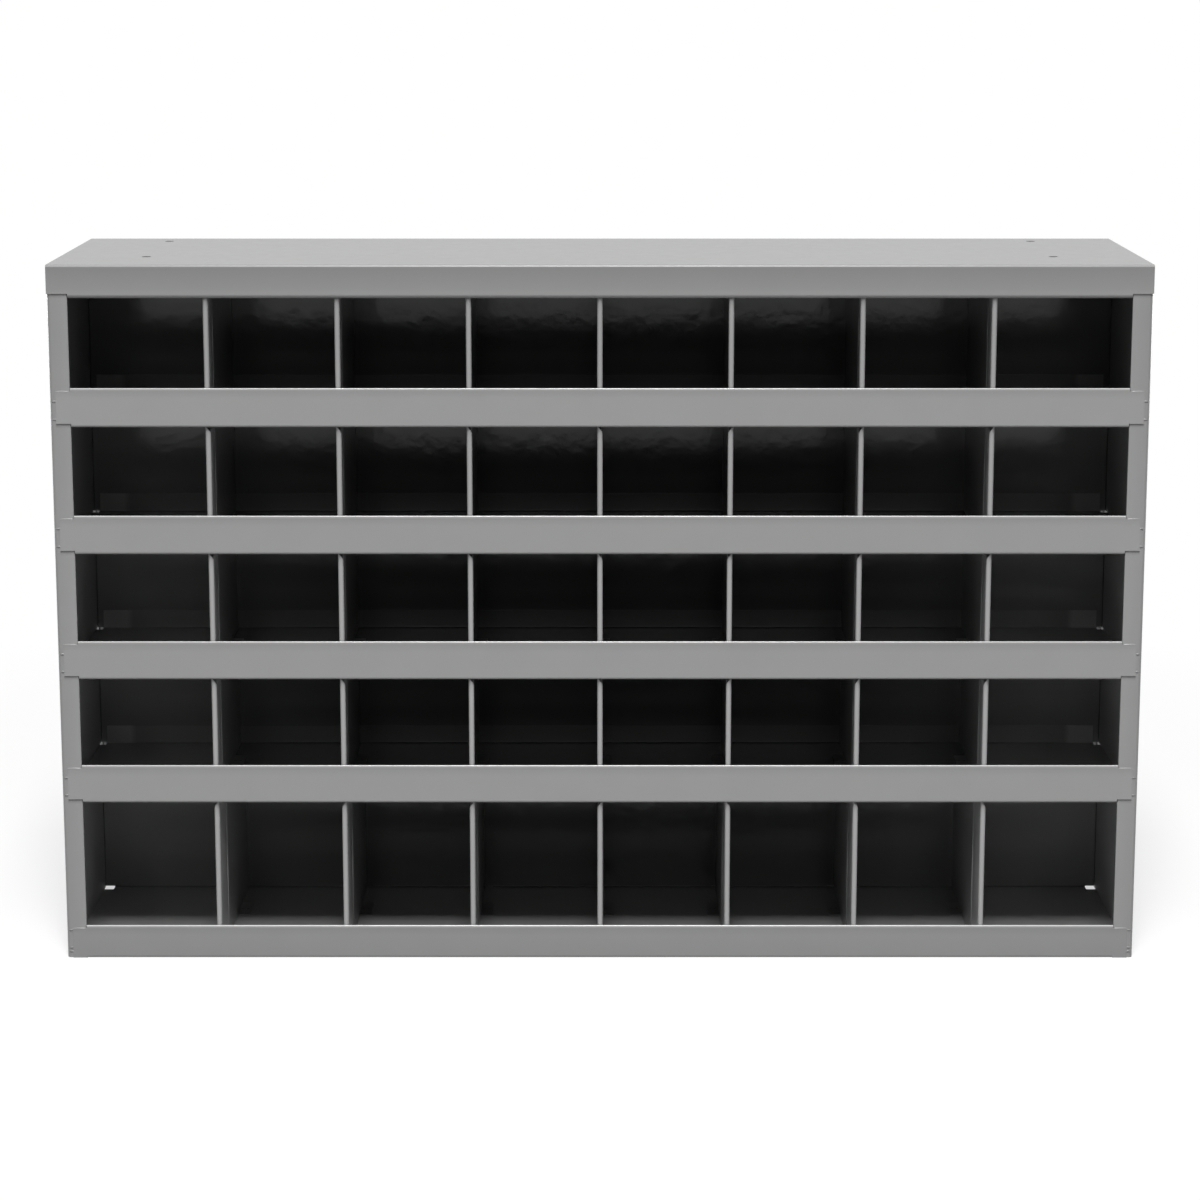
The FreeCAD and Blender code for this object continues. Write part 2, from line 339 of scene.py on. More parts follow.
def painted_shade_group() -> EffectGroup:
    """Painted shade and light: a change of tone with height, standing in for the shading of a sheet
    that isn't quite flat.

    The tone goes evenly from the low tone at the low height to the high tone at the high height.
    Tipped coordinates make it go sideways or to the rear.

    Returns:
        The group, with Tone as a factor of the colour.
    """
    values = {"Low": 0.0, "High": 1.0, "Low Tone": 1.0, "High Tone": 1.0}
    group = EffectGroup("painted_shade", values, ("Tone",))
    nodes, given = group.nodes, group.given
    _, _, height = nodes.parts(given["Position"])
    ramp = nodes.add("ShaderNodeMapRange")
    nodes.join(height, ramp.inputs["Value"])
    for name, socket in zip(values, ("From Min", "From Max", "To Min", "To Max")):
        nodes.join(given[name], ramp.inputs[socket])
    nodes.join(ramp.outputs["Result"], group.sink["Tone"])
    return group


def hem_swell_group() -> EffectGroup:
    """The slight swell of a folded hem along the top of each lip.

    Heights repeat with the pitch from the edge. In the last band below an edge the surface rises by
    the depth, as the square of the share of the band. Crest is 1 at the edge and falls evenly to 0
    over the crest's own band; it is the mask of the painted highlight along the hem's top.

    Returns:
        The group, whose Height is in metres and whose Crest is from 0 to 1.
    """
    values = {"Edge": 0.0, "Pitch": 0.1, "Band": 0.005, "Depth": 1e-4, "Crest Band": 0.0025}
    group = EffectGroup("hem_swell", values, ("Height", "Crest"))
    nodes, given = group.nodes, group.given
    _, _, height = nodes.parts(given["Position"])
    below = nodes.math("SUBTRACT", given["Edge"], height)
    cycle = nodes.math("FLOORED_MODULO", below, given["Pitch"])
    share = nodes.math("DIVIDE", cycle, given["Band"])
    rise = nodes.math("MAXIMUM", nodes.math("SUBTRACT", 1.0, share), 0.0)
    nodes.join(nodes.product(rise, rise, given["Depth"]), group.sink["Height"])
    highlight = nodes.math("SUBTRACT", 1.0, nodes.math("DIVIDE", cycle, given["Crest Band"]))
    nodes.join(nodes.math("MAXIMUM", highlight, 0.0), group.sink["Crest"])
    return group


def inside_group() -> EffectGroup:
    """The mask of the faces inside the compartments, where the coats paint shade (and light on the
    bottom row's floor), and how far they lie towards the lower ends.

    The mask is 1 between the outer faces of the side walls, in front of the back panel's rear face,
    under the top's upper face and over the bottom's lower face, and it fades in behind the front
    Ends is the square of the share of the way from the middle columns to the side walls, and it fades
    out upwards under the top; the coats paint light towards the lower end columns with it.

    Returns:
        The group, with Mask and Ends from 0 to 1.
    """
    values = {"Half Width": 0.428, "Front": -0.1052, "Ramp": 0.03, "Rear": 0.0734,
              "Low": 0.0004, "High": 0.5585, "Middle": 0.1, "Side": 0.4, "Fade": 0.3}
    group = EffectGroup("inside", values, ("Mask", "Ends"))
    nodes, given = group.nodes, group.given
    x, y, z = nodes.parts(given["Position"])
    aside = nodes.math("ABSOLUTE", x)
    between = nodes.math("LESS_THAN", aside, given["Half Width"])
    ahead = nodes.math("LESS_THAN", y, given["Rear"])
    under = nodes.math("LESS_THAN", z, given["High"])
    over = nodes.math("GREATER_THAN", z, given["Low"])
    behind = nodes.share(y, given["Front"], given["Ramp"])
    nodes.join(nodes.product(behind, between, ahead, under, over), group.sink["Mask"])
    reach = nodes.math("SUBTRACT", given["Side"], given["Middle"])
    outward = nodes.share(aside, given["Middle"], reach)
    fall = nodes.share(nodes.math("SUBTRACT", given["High"], z), 0.0, given["Fade"])
    nodes.join(nodes.product(outward, outward, fall), group.sink["Ends"])
    return group


def flange_ends_group() -> EffectGroup:
    """The mask of a painted reflection on the ends of the shelves' rear upturns, standing in for the
    light that they catch from the side walls.

    It is 1 on the faces behind the line of the upturns, and it fades out over a blend inside the
    inner distance from the middle.

    Returns:
        The group, with Mask from 0 to 1.
    """
    values = {"Line": 0.0715, "Inner": 0.397, "Blend": 0.005}
    group = EffectGroup("flange_ends", values, ("Mask",))
    nodes, given = group.nodes, group.given
    x, y, _ = nodes.parts(given["Position"])
    outer = nodes.share(nodes.math("ABSOLUTE", x), given["Inner"], given["Blend"])
    behind = nodes.math("GREATER_THAN", y, given["Line"])
    nodes.join(nodes.math("MULTIPLY", outer, behind), group.sink["Mask"])
    return group


EFFECT_MAKERS = (orange_peel_group, mottle_group, dust_group, painted_shade_group, hem_swell_group,
                 inside_group, flange_ends_group)


@dataclass(frozen=True)
class PaintedShadeRamp:
    """A ramp of painted shade and light: two places along a way, in metres, and the tone of a coat at
    each.
    """

    low: float
    high: float
    low_tone: float
    high_tone: float
    along: Along = Along.UP


@dataclass(frozen=True)
class HemSwell:
    """Where the lips' hems are, how far they swell, in metres, and how much lighter the painted
    highlight on their crest is.
    """

    edge: float
    pitch: float = 0.101
    band: float = 0.008
    depth: float = 5.0e-4
    crest_highlight: float = 0.0


@dataclass(frozen=True)
class Lean:
    """The heights between which a sheet leans forward, and how far it comes, in metres."""

    low: float = 0.0
    high: float = 1.0
    depth: float = 0.0


@dataclass(frozen=True)
class Layers:
    """What a coat's material is built from: its tree, coordinates, shader and effects.

    The effects are all the shared groups, by name, and then the four that every coat has placed.
    """

    nodes: NodeTree
    place: Socket
    shader: Node
    effects: dict[str, EffectGroup]
    mottle: Node
    dust: Node
    inside: Node
    swell: Node


@dataclass(frozen=True)
class Enamel:
    """A baked semi-gloss enamel on sheet steel."""

    coat: Coat
    grey: float = 0.31
    shade_ramps: tuple[PaintedShadeRamp, ...] = ()
    swell: HemSwell = HemSwell(0.0, depth=0.0)
    lean: Lean = Lean()
    inside_front: float = -0.1052
    inside_ramp: float = 0.03
    # Factors of painted shade inside the compartments (painted light where above 1), and of painted
    # light towards the lower end columns.
    inside_painted_shading: float = 0.43
    inside_dull: float = 0.0
    ends_painted_light: float = 1.0
    flange_reflection_gain: float = 0.0
    specular: float = 0.5
    mottle: float = 0.07
    cloud_scale: float = 26.0
    roughness: float = 0.22
    roughness_swing: float = 0.08
    peel_depth: float = 7e-6
    peel_scale: float = 620.0
    wave_depth: float = 1.2e-4
    dust: float = 0.1
    dust_grey: float = 0.42

    def material(self, effects: dict[str, EffectGroup]) -> bpy.types.Material:
        """Builds the material.

        Args:
            effects: The shared node groups by name.

        Returns:
            The material, with its shader in its own tree.
        """
        made = bpy.data.materials.new(self.coat.value)
        made.use_nodes = True
        shader = made.node_tree.nodes["Principled BSDF"]
        shader.inputs["IOR"].default_value = ENAMEL_IOR
        shader.inputs["Specular IOR Level"].default_value = self.specular
        layers = self.layers(NodeTree(made.node_tree), shader, effects)
        self.paint(layers)
        self.gloss(layers)
        self.skin(layers)
        return made

    def layers(self, nodes: NodeTree, shader: Node, effects: dict[str, EffectGroup]) -> Layers:
        """Places the effects that every coat has.

        Args:
            nodes: The material's tree.
            shader: Its shader.
            effects: The shared node groups by name.

        Returns:
            The tree and what is in it.
        """
        place = nodes.add("ShaderNodeTexCoord").outputs["Object"]
        mottle = effects["mottle"].place(nodes, place, Amount=self.mottle, Scale=self.cloud_scale)
        dust = effects["dust"].place(nodes, place, Amount=self.dust)
        inside = effects["inside"].place(
            nodes, place, Front=self.inside_front, Ramp=self.inside_ramp)
        hem = self.swell
        swell = effects["hem_swell"].place(
            nodes, place, Edge=hem.edge, Pitch=hem.pitch, Band=hem.band, Depth=hem.depth)
        return Layers(nodes, place, shader, effects, mottle, dust, inside, swell)

    def tones(self, layers: Layers) -> list[Socket]:
        """Adds the factors of the grey.

        They are the clouds, the painted shade inside (painted light where its factor is above 1),
        which goes over to the painted light towards the lower end columns, the ramps of painted shade
        and light, the painted highlight on the crest of the hems outside, and the painted reflection
        on the ends of the upturns.

        Args:
            layers: The material's tree and what is in it.

        Returns:
            The factors, in order.
        """
        nodes, inside = layers.nodes, layers.inside.outputs
        # Painted shade inside, going over to painted light towards the lower end columns.
        change = nodes.math("MULTIPLY", inside["Ends"], self.ends_painted_light - self.inside_painted_shading)
        change = nodes.math("ADD", change, self.inside_painted_shading - 1.0)
        found = [layers.mottle.outputs["Tone"], nodes.raised(inside["Mask"], change)]
        # Ramps of painted shade and light.
        for ramp in self.shade_ramps:
            level = layers.effects["painted_shade"].place(
                nodes, nodes.tipped(layers.place, ramp.along), Low=ramp.low, High=ramp.high,
                Low_Tone=ramp.low_tone, High_Tone=ramp.high_tone)
            found.append(level.outputs["Tone"])
        # Painted highlight along the crest of the hems outside.
        if self.swell.crest_highlight > 0.0:
            outside = nodes.math("SUBTRACT", 1.0, inside["Mask"])
            highlight = nodes.math("MULTIPLY", layers.swell.outputs["Crest"], outside)
            found.append(nodes.raised(highlight, self.swell.crest_highlight))
        # Painted reflection on the ends of the rear upturns.
        if self.flange_reflection_gain > 0.0:
            patch = layers.effects["flange_ends"].place(nodes, layers.place)
            found.append(nodes.raised(patch.outputs["Mask"], self.flange_reflection_gain))
        return found

    def paint(self, layers: Layers) -> None:
        """Joins the colour: the grey times its tones, which carry painted shade and light, and dust
        over it.

        Args:
            layers: The material's tree and what is in it.
        """
        nodes = layers.nodes
        shade = nodes.add("ShaderNodeVectorMath", operation="SCALE")
        shade.inputs[0].default_value = (self.grey,) * 3
        nodes.join(nodes.product(*self.tones(layers)), shade.inputs["Scale"])
        dusty = nodes.add("ShaderNodeMix", data_type="RGBA")
        nodes.join(layers.dust.outputs["Mask"], dusty.inputs["Factor"])
        nodes.join(shade.outputs["Vector"], dusty.inputs["A"])
        dusty.inputs["B"].default_value = (self.dust_grey,) * 3 + (1.0,)
        nodes.join(dusty.outputs["Result"], layers.shader.inputs["Base Color"])

    def gloss(self, layers: Layers) -> None:
        """Joins the roughness: it swings in patches, and is duller under dust and inside.

        Args:
            layers: The material's tree and what is in it.
        """
        nodes = layers.nodes
        centred = nodes.math("SUBTRACT", layers.mottle.outputs["Gloss"], NOISE_MIDDLE)
        swing = nodes.math("MULTIPLY", centred, self.roughness_swing)
        dusty = nodes.math("MULTIPLY", layers.dust.outputs["Mask"], DUST_DULLING)
        within = nodes.math("MULTIPLY", layers.inside.outputs["Mask"], self.inside_dull)
        level = nodes.math("ADD", swing, self.roughness)
        for duller in (dusty, within):
            level = nodes.math("ADD", level, duller)
        nodes.join(level, layers.shader.inputs["Roughness"])

    def skin(self, layers: Layers) -> None:
        """Joins the relief: orange peel, the sheet's wave, the swell of the hems and the lean.

        Args:
            layers: The material's tree and what is in it.
        """
        nodes = layers.nodes
        peel = layers.effects["orange_peel"].place(
            nodes, layers.place, Peel_Depth=self.peel_depth, Peel_Scale=self.peel_scale,
            Wave_Depth=self.wave_depth)
        height = nodes.math("ADD", peel.outputs["Height"], layers.swell.outputs["Height"])
        if self.lean.depth > 0.0:
            _, _, up = nodes.parts(layers.place)
            share = nodes.share(up, self.lean.low, self.lean.high - self.lean.low)
            forward = nodes.product(share, layers.inside.outputs["Mask"], self.lean.depth)
            height = nodes.math("ADD", height, forward)
        bump = nodes.add("ShaderNodeBump")
        bump.inputs["Strength"].default_value = 1.0
        bump.inputs["Distance"].default_value = 1.0
        nodes.join(height, bump.inputs["Height"])
        nodes.join(bump.outputs["Normal"], layers.shader.inputs["Normal"])


def finishes() -> list[Enamel]:
    """The bin's coats: a grey for each kind of sheet, with painted shade and painted light in their
    tones.

    Returns:
        One finish for each coat.
    """
    # Painted shade on the side walls: darker towards the top, and darker towards the outer edge of the
    # front flanges.
    side_ramps = (
        PaintedShadeRamp(low=0.3, high=0.52, low_tone=1.02, high_tone=0.92),
        PaintedShadeRamp(low=0.414, high=0.4285, low_tone=1.05, high_tone=0.94, along=Along.ASIDE))
    # Painted shade on the top lip, darker towards its top edge; painted light on its lower bend;
    # painted shade on the top face.
    top_ramps = (PaintedShadeRamp(low=0.54, high=0.558, low_tone=1.0, high_tone=0.83),
                 PaintedShadeRamp(low=0.5345, high=0.5405, low_tone=1.12, high_tone=1.0),
                 PaintedShadeRamp(low=0.5582, high=0.5588, low_tone=1.0, high_tone=0.88))
    # Painted light on the lower lips, lighter than the upper ones.
    shelf_ramp = PaintedShadeRamp(low=0.13, high=0.46, low_tone=1.06, high_tone=1.01)
    # Painted shade along the foot of the bottom lip, beside the floor.
    bottom_ramp = PaintedShadeRamp(low=0.003, high=0.024, low_tone=0.92, high_tone=1.0)
    # Painted light and shade on the dividers: lighter low down, darker high up, and lighter in front
    # of the hems' rear edges, but not on the hems' front.
    divider_ramps = (
        PaintedShadeRamp(low=0.27, high=0.5, low_tone=1.11, high_tone=0.91),
        PaintedShadeRamp(low=-0.104, high=-0.098, low_tone=0.74, high_tone=1.0, along=Along.BACK),
        PaintedShadeRamp(low=-0.0632, high=-0.0628, low_tone=1.35, high_tone=1.0, along=Along.BACK))
    return [
        # Side walls: painted light on their insides towards the lower end columns.
        Enamel(Coat.SIDE, 0.3, side_ramps, inside_painted_shading=1.0, inside_dull=0.3, ends_painted_light=1.9,
               roughness=0.34),
        # Back: painted shade inside the compartments, less of it towards the lower end columns.
        Enamel(Coat.BACK, 0.3, lean=Lean(low=0.445, high=0.525, depth=2.5e-3), inside_painted_shading=0.27,
               ends_painted_light=1.35, specular=0.38, roughness=0.16, peel_depth=2.0e-4, peel_scale=90.0,
               wave_depth=2.4e-4),
        # Top: painted shade on its underside inside the compartments.
        Enamel(Coat.TOP, 0.265, top_ramps, roughness=0.35),
        # Shelves: painted shade inside, less towards the lower end columns, a painted highlight on the
        # crests of the lips' hems, and a painted reflection on the ends of the rear upturns.
        Enamel(Coat.SHELF, 0.315, (shelf_ramp,), HemSwell(edge=0.4628, crest_highlight=0.4),
               inside_painted_shading=0.38, ends_painted_light=1.4, flange_reflection_gain=0.5),
        # Bottom: painted light on the floor behind the lip, more towards the end columns, and a
        # painted highlight on the crest of the lip's hem.
        Enamel(Coat.BOTTOM, 0.3, (bottom_ramp,), HemSwell(edge=0.027, crest_highlight=0.7),
               inside_front=-0.06, inside_ramp=0.05, inside_painted_shading=1.5, ends_painted_light=1.9),
        # Dividers: painted shade inside, less towards the lower end columns.
        Enamel(Coat.DIVIDER, 0.37, divider_ramps, ends_painted_light=1.3, roughness=0.3, peel_depth=2e-6,
               wave_depth=4e-5),
        # Weld marks: a darker grey that partly paints the shade of the weld dimples, and painted shade
        # on the spots inside the compartments.
        Enamel(Coat.WELD, 0.24, mottle=0.2, cloud_scale=400.0, roughness=0.3),
    ]


@dataclass
class SheetMetal:
    """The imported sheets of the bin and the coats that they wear."""

    nodes: dict[str, bpy.types.Object]

    def coat_of(self, name: str) -> Coat:
        """Finds the coat of a sheet by its name.

        Args:
            name: The sheet's name.

        Returns:
            The coat of its kind.
        """
        if "divider" in name:
            return Coat.DIVIDER
        own = {"top_panel": Coat.TOP, "bottom_shelf": Coat.BOTTOM, "back_panel": Coat.BACK}
        return own.get(name, Coat.SHELF if "shelf" in name else Coat.SIDE)

    def dress(self, coats: dict[Coat, bpy.types.Material]) -> None:
        """Puts each sheet's coat into its material slot.

        Args:
            coats: The materials by coat.
        """
        for name, sheet in self.nodes.items():
            sheet.data.materials.clear()
            sheet.data.materials.append(coats[self.coat_of(name)])
            LOG.info("dressed %s", name)


@dataclass(frozen=True)
class Shape:
    """A closed surface: its points, and the corners of its four-sided and three-sided faces."""

    points: np.ndarray
    quads: np.ndarray
    caps: np.ndarray

    def scaled(self, factors: Triple) -> "Shape":
        """The shape with its width, depth and height times three factors."""
        return Shape(self.points * factors, self.quads, self.caps)

    def facing_back(self) -> "Shape":
        """The shape turned so that its top looks to the rear: (x, y, z) goes to (-x, z, y)."""
        return Shape(self.points[:, [0, 2, 1]] * [-1.0, 1.0, 1.0], self.quads, self.caps)

    def copied(self, name: str, places: np.ndarray,
               sizes: np.ndarray = np.ones((1, 3))) -> bpy.types.Object:
        """Copies the shape to several places in one mesh.

        A copy's points are its place plus the shape's points times its sizes.

        Args:
            name: The new object's name.
            places: Where the shape's origin goes, one row for each copy.
            sizes: Factors of its width, depth and height, one row for each copy or one for all.

        Returns:
            The object, at the origin.
        """
        everywhere = places[:, None, :] + self.points[None, :, :] * sizes[:, None, :]
        starts = np.arange(len(places))[:, None, None] * len(self.points)
        quads = (starts + self.quads).reshape(-1, 4).tolist()
        caps = (starts + self.caps).reshape(-1, 3).tolist()
        mesh = bpy.data.meshes.new(name)
        mesh.from_pydata(everywhere.reshape(-1, 3).tolist(), [], quads + caps)
        mesh.validate()
        made = bpy.data.objects.new(name, mesh)
        bpy.context.scene.collection.objects.link(made)
        return made


def revolved(profile: np.ndarray, around: int) -> Shape:
    """Turns a profile round the local Z axis into a closed shape.

    A point of the profile at radius r and height h goes to (r cos a, r sin a, h) at each of the
    angles a. The first and last points lie on the axis and close the shape.

    Args:
        profile: Radii and heights, from the pole on top to the pole below.
        around: How many steps a turn has.

    Returns:
        The shape.
    """
    angle = np.arange(around) * (2 * math.pi / around)
    radius, height = profile[1:-1, 0][:, None], profile[1:-1, 1][:, None]
    turned = [radius * np.cos(angle), radius * np.sin(angle), height + 0.0 * angle]
    rings = np.stack(turned, axis=-1).reshape(-1, 3)
    poles = np.array([[0.0, 0.0, profile[0, 1]], [0.0, 0.0, profile[-1, 1]]])
    step = np.arange(around)
    ahead = (step + 1) % around
    first = np.arange(len(profile) - 3)[:, None] * around
    second = first + around
    quads = np.stack([first + step, second + step, second + ahead, first + ahead], axis=-1)
    top, below, last = len(rings), len(rings) + 1, len(rings) - around
    cap = np.stack([step, ahead, np.full(around, top)], axis=-1)
    foot = np.stack([last + ahead, last + step, np.full(around, below)], axis=-1)
    points = np.concatenate([rings, poles])
    return Shape(points, quads.reshape(-1, 4), np.concatenate([cap, foot]))


def ball() -> Shape:
    """A ball of radius 1: a half circle from pole to pole, turned round the Z axis."""
    turn = np.linspace(math.pi / 2, -math.pi / 2, BALL_STEPS + 1)
    return revolved(np.stack([np.cos(turn), np.sin(turn)], axis=-1), BALL_AROUND)


def settle(piece: bpy.types.Object, coat: bpy.types.Material) -> None:
    """Makes a new piece smooth, gives it its coat and lets it ride on the bin.

    Args:
        piece: The new piece.
        coat: Its material.
    """
    piece.data.shade_smooth()
    piece.data.materials.append(coat)
    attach(piece, BODY)
    LOG.info("built %s", piece.name)


@dataclass(frozen=True)
class Divider:
    """Where a packed divider is: its row and column, counted from 1, and the corners of its box."""

    row: int
    column: int
    low: Sequence[float]
    high: Sequence[float]

    @property
    def inward(self) -> int:
        """The side that its tabs turn to: 1 for +X up to the middle of the bin, and -1 past it."""
        return 1 if self.column <= COLUMNS / 2 else -1

    @property
    def line(self) -> float:
        """The X of its line in the grid."""
        return (self.column - COLUMNS / 2) * COLUMN_PITCH


def packed_dividers() -> list[Divider]:
    """All the dividers, row by row."""
    return [Divider(row, column, *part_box(f"row_{row}_divider_{column}"))
            for row in range(1, ROWS + 1) for column in range(1, COLUMNS)]


@dataclass
class WeldMarks:
    """The marks of the welds and of the paint over them.

    There are beads and fillets at the lips' end tabs, and spots on the dividers' lower tabs and on
    the back.
    """

    tab_inset: float = 4.8 * MM
    bead: Triple = (1.9 * MM, 0.4 * MM, 0.8 * MM)
    bead_shift: float = 1.1 * MM
    bead_heights: tuple[float, ...] = (20.3 * MM, 6.0 * MM)
    bottom_bead_heights: tuple[float, ...] = (5.0 * MM, 8.2 * MM, 22.8 * MM)
    fillet: Triple = (5.4 * MM, 0.75 * MM, 0.6 * MM)
    head_trim: float = 2.6 * MM
    spot_radius: float = 1.1 * MM
    spot_offsets: tuple[float, float] = (2.8 * MM, 7.1 * MM)
    spot_relief: float = 1.0 * MM
    spot_before_rear: float = 58.2 * MM
    back_spot_radius: float = 2.8 * MM
    back_spot_relief: float = 4.0 * MM
    back_spot_rise: float = 9.0 * MM
    sheet: float = 0.9 * MM
    divider_sheet: float = 0.8 * MM

    def spot(self, radius: float, relief: float) -> Shape:
        """A pressed spot: a shallow dish inside a low ring, sunk into the sheet below."""
        return revolved(SPOT_PROFILE * [radius, relief], SPOT_AROUND)

    def tab_end(self) -> tuple[float, float]:
        """Where the lips' tabs end: the distance from the middle, and the Y of the flanges' faces."""
        low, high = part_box("side_panel_right")
        return high[0] - self.tab_inset, low[1]

    def build_beads(self) -> bpy.types.Object:
        """Builds the tack welds in the step beside each lip's tab: half-sunk ellipsoids.

        Returns:
            The beads.
        """
        places = []
        for lipped in LIPPED:
            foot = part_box(lipped)[0][2]
            bottom = lipped == "bottom_shelf"
            heights = self.bottom_bead_heights if bottom else self.bead_heights
            places += [(side, foot + rise) for side in (-1, 1) for rise in heights]
        sides, rises = np.array(places).T
        end, face = self.tab_end()
        across = sides * (end + self.bead_shift)
        spread = np.stack([across, np.full(len(places), face), rises], axis=-1)
        return ball().scaled(self.bead).copied("tack_beads", spread)

    def build_fillets(self) -> bpy.types.Object:
        """Builds the paint fillets at the head of each lip's tab: half-sunk ellipsoids, long in X.

        Returns:
            The fillets.
        """
        end, face = self.tab_end()
        across = end - self.fillet[0]
        heads = np.array([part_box(lipped)[1][2] for lipped in LIPPED]) - self.head_trim
        grid = np.stack(np.meshgrid([-across, across], [face], heads, indexing="ij"), axis=-1)
        return ball().scaled(self.fillet).copied("tab_fillets", grid.reshape(-1, 3))

    def build_floor_spots(self) -> bpy.types.Object:
        """Builds two spots on each divider's lower tab.

        Returns:
            The spots.
        """
        places = []
        for divider in packed_dividers():
            low, high, inward = divider.low, divider.high, divider.inward
            end = high[0] if inward > 0 else low[0]
            behind, up = high[1] - self.spot_before_rear, low[2] + self.divider_sheet
            places += [(end - inward * gap, behind, up) for gap in self.spot_offsets]
        shape = self.spot(self.spot_radius, self.spot_relief)
        return shape.copied("floor_spots", np.array(places))

    def build_back_spots(self) -> bpy.types.Object:
        """Builds a row of spots on the back's rear face at each shelf, one for each compartment.

        Returns:
            The spots.
        """
        across = (np.arange(COLUMNS) - (COLUMNS - 1) / 2) * COLUMN_PITCH
        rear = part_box("shelf_1")[1][1] + self.sheet
        rises = [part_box(shelf)[0][2] + self.back_spot_rise for shelf in SHELVES]
        grid = np.stack(np.meshgrid(across, [rear], rises, indexing="ij"), axis=-1)
        shape = self.spot(self.back_spot_radius, self.back_spot_relief).facing_back()
        return shape.copied("back_spots", grid.reshape(-1, 3))

    def build(self, coats: dict[Coat, bpy.types.Material]) -> None:
        """Builds every mark in the weld's coat.

        Args:
            coats: The materials by coat.
        """
        makers = (self.build_beads, self.build_fillets, self.build_floor_spots,
                  self.build_back_spots)
        for maker in makers:
            settle(maker(), coats[Coat.WELD])


@dataclass
class HemEdges:
    """The beads of paint down the rear edges of the dividers' hems, on the faces that show."""

    radius: float = 0.5 * MM
    behind_front: float = 41.9 * MM
    leg_face: float = -0.3 * MM
    web_face: float = 2.2 * MM
    head_gap: float = 7.5 * MM

    def build(self, coats: dict[Coat, bpy.types.Material]) -> None:
        """Builds the beads in the dividers' coat: upright rods, half sunk into their sheets.

        A rod is a profile of the radius and of height 1, stretched to the divider's height less the
        gap at its head. The bottom row's hems fold to the other side, so their web shows.

        Args:
            coats: The materials by coat.
        """
        rod = np.array([[0.0, 1.0], [self.radius, 1.0], [self.radius, 0.0], [0.0, 0.0]])
        places, sizes = [], []
        for divider in packed_dividers():
            low, high = divider.low, divider.high
            face = self.web_face if divider.row == ROWS else self.leg_face
            across = divider.line + divider.inward * face
            places.append((across, low[1] + self.behind_front, low[2]))
            sizes.append((1.0, 1.0, high[2] - low[2] - self.head_gap))
        shape = revolved(rod, ROD_AROUND)
        piece = shape.copied("hem_edges", np.array(places), np.array(sizes))
        settle(piece, coats[Coat.DIVIDER])


def seen_directly(nodes: NodeTree) -> Socket:
    """Adds a value of 1 for camera, glossy and transmitted rays, and of 0 for diffuse light.

    Args:
        nodes: The tree of the floor or of the surround.

    Returns:
        The value.
    """
    path = nodes.add("ShaderNodeLightPath")
    either = nodes.math("MAXIMUM", path.outputs["Is Camera Ray"], path.outputs["Is Glossy Ray"])
    return nodes.math("MAXIMUM", either, path.outputs["Is Transmission Ray"])


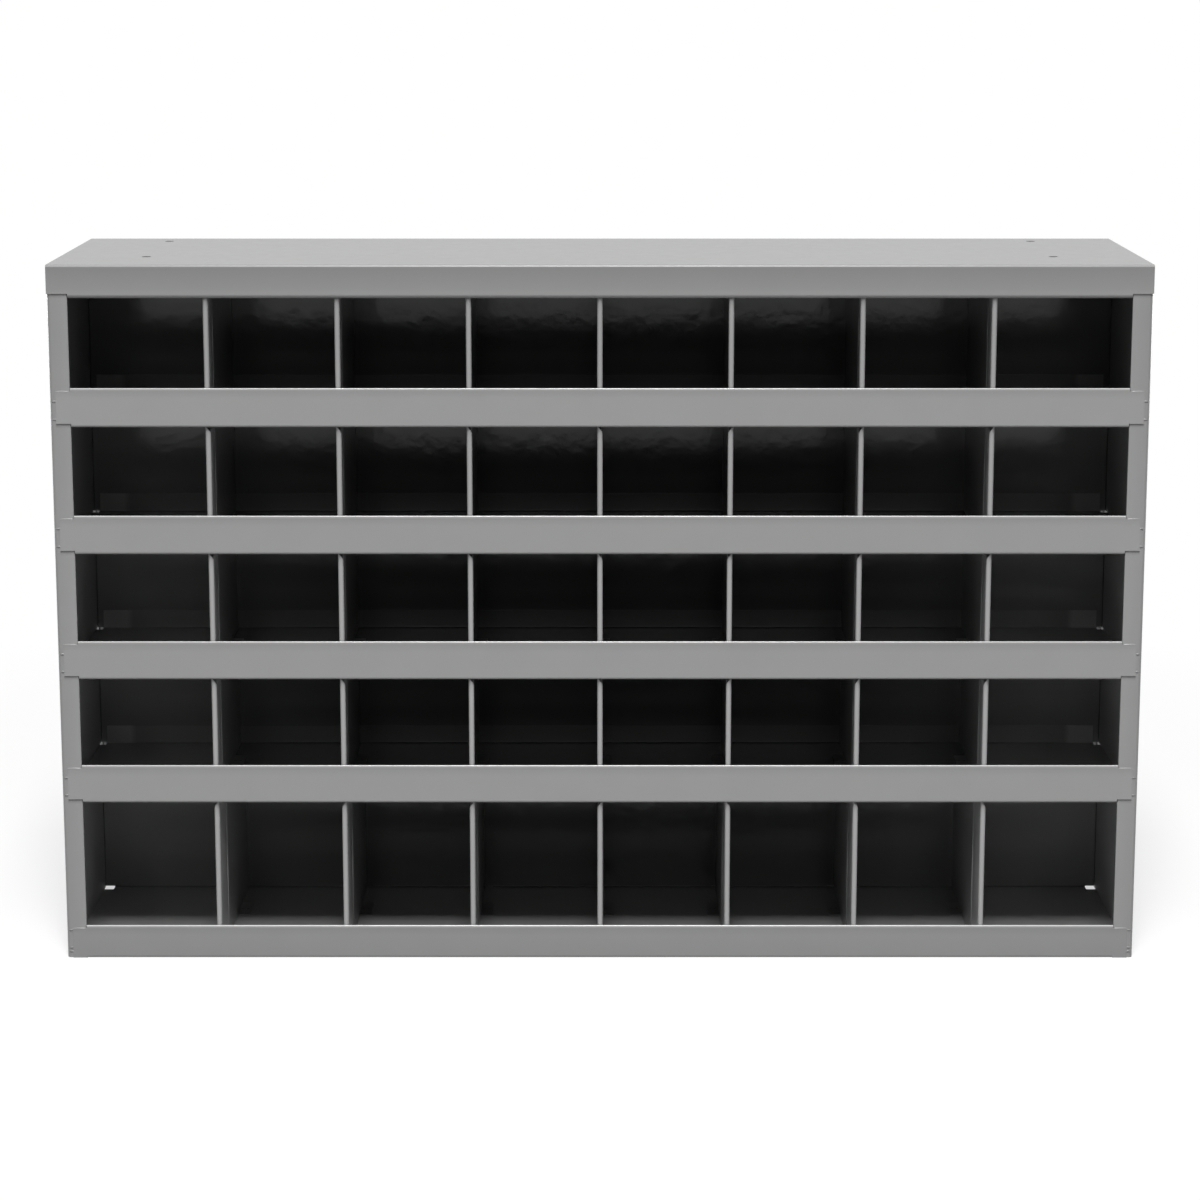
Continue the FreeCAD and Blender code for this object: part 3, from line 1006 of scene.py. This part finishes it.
@dataclass
class Studio:
    """The floor, the lamps, the surround and the camera of the photograph's view."""

    floor_size: float = 14.0
    floor_grey: float = 0.27
    floor_seen_grey: float = 0.76
    floor_roughness: float = 0.9
    floor_specular: float = 0.1
    shadow_white: float = 0.6
    shadow_reach: tuple[float, float] = (0.6, 1.2)
    ambient: float = 0.04
    key_watts: float = 570.0
    key_size: tuple[float, float] = (1.5, 3.2)
    key_place: Triple = (0.0, -2.68, 5.74)
    rear_watts: float = 40.0
    rear_size: tuple[float, float] = (1.8, 0.45)
    rear_place: Triple = (3.0, 2.4, 0.29)
    lamp_aim: Triple = (0.0, -0.05, 0.4)
    camera_place: Triple = (0.0, -2.3985, 0.7979)
    camera_pitch: float = 10.11
    camera_lens: float = 89.27
    camera_sensor: float = 36.0
    camera_shift: float = -0.099

    def floor_paper(self) -> bpy.types.Material:
        """Builds the floor's paper, white to the camera and to reflections, with the bin's shadow.

        To the camera the lit paper is about white, and away from the bin it fades to plain white
        over the reach. Diffuse light sees a grey, so that little of it goes up to the bin.

        Returns:
            The material.
        """
        made = bpy.data.materials.new("floor_paper")
        made.use_nodes = True
        nodes = NodeTree(made.node_tree)
        paper = made.node_tree.nodes["Principled BSDF"]
        seen = seen_directly(nodes)
        lit = nodes.math("MULTIPLY", seen, self.floor_seen_grey)
        nodes.join(nodes.math("MAXIMUM", lit, self.floor_grey), paper.inputs["Base Color"])
        paper.inputs["Roughness"].default_value = self.floor_roughness
        paper.inputs["Specular IOR Level"].default_value = self.floor_specular
        white = nodes.add("ShaderNodeEmission")
        white.inputs["Strength"].default_value = 1.0
        apart = nodes.add("ShaderNodeVectorMath", operation="LENGTH")
        nodes.join(nodes.add("ShaderNodeTexCoord").outputs["Object"], apart.inputs[0])
        fade = nodes.add("ShaderNodeMapRange")
        nodes.join(apart.outputs["Value"], fade.inputs["Value"])
        for socket, reach in zip(("From Min", "From Max"), self.shadow_reach):
            fade.inputs[socket].default_value = reach
        fade.inputs["To Min"].default_value = self.shadow_white
        mix = nodes.add("ShaderNodeMixShader")
        nodes.join(nodes.math("MULTIPLY", seen, fade.outputs["Result"]), mix.inputs["Fac"])
        nodes.join(paper.outputs["BSDF"], mix.inputs[1])
        nodes.join(white.outputs["Emission"], mix.inputs[2])
        output = made.node_tree.nodes["Material Output"]
        nodes.join(mix.outputs["Shader"], output.inputs["Surface"])
        return made

    def build_floor(self) -> None:
        """Builds the floor, a square of paper under the bin."""
        half = self.floor_size / 2
        corners = [(-half, -half, 0.0), (half, -half, 0.0), (half, half, 0.0), (-half, half, 0.0)]
        mesh = bpy.data.meshes.new("floor")
        mesh.from_pydata(corners, [], [(0, 1, 2, 3)])
        mesh.materials.append(self.floor_paper())
        floor = bpy.data.objects.new("floor", mesh)
        bpy.context.scene.collection.objects.link(floor)

    def build_world(self) -> None:
        """Builds a surround, white to the camera and to reflections, and weak light to the rest."""
        world = bpy.data.worlds.new("surround")
        world.use_nodes = True
        bpy.context.scene.world = world
        nodes = NodeTree(world.node_tree)
        background = world.node_tree.nodes["Background"]
        background.inputs["Color"].default_value = WHITE
        level = nodes.math("MAXIMUM", seen_directly(nodes), self.ambient)
        nodes.join(level, background.inputs["Strength"])

    def build_lamp(self, name: str, watts: float, size: tuple[float, float], place: Triple) -> None:
        """Adds a soft lamp that is aimed at the bin.

        Args:
            name: The lamp's name.
            watts: Its power.
            size: Its width and height.
            place: Where it stands.
        """
        light = bpy.data.lights.new(name, "AREA")
        light.shape = "RECTANGLE"
        light.size, light.size_y = size
        light.energy = watts
        lamp = bpy.data.objects.new(name, light)
        lamp.location = place
        aim = Vector(self.lamp_aim) - Vector(place)
        lamp.rotation_euler = aim.to_track_quat("-Z", "Y").to_euler()
        bpy.context.scene.collection.objects.link(lamp)

    def build_lamps(self) -> None:
        """Adds a large lamp high in front of the bin, and a weak, low one past each rear corner."""
        self.build_lamp("key", self.key_watts, self.key_size, self.key_place)
        aside, behind, up = self.rear_place
        self.build_lamp("rear_right", self.rear_watts, self.rear_size, (aside, behind, up))
        self.build_lamp("rear_left", self.rear_watts, self.rear_size, (-aside, behind, up))

    def build_camera(self) -> None:
        """Adds a camera in front of the bin and above it, looking slightly down."""
        lens = bpy.data.cameras.new("camera")
        lens.lens = self.camera_lens
        lens.sensor_width = self.camera_sensor
        lens.shift_y = self.camera_shift
        camera = bpy.data.objects.new("camera", lens)
        camera.location = self.camera_place
        camera.rotation_euler = (math.radians(90.0 - self.camera_pitch), 0.0, 0.0)
        bpy.context.scene.collection.objects.link(camera)
        bpy.context.scene.camera = camera


def main() -> None:
    """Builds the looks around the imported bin, in order."""
    logging.basicConfig(level=logging.INFO)
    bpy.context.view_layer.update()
    bpy.context.scene.view_settings.view_transform = "Standard"
    effects = {group.tree.name: group for group in [maker() for maker in EFFECT_MAKERS]}
    coats = {finish.coat: finish.material(effects) for finish in finishes()}
    SheetMetal(frame["nodes"]).dress(coats)
    WeldMarks().build(coats)
    HemEdges().build(coats)
    studio = Studio()
    studio.build_floor()
    studio.build_world()
    studio.build_lamps()
    studio.build_camera()


if __name__ == "__main__":
    main()
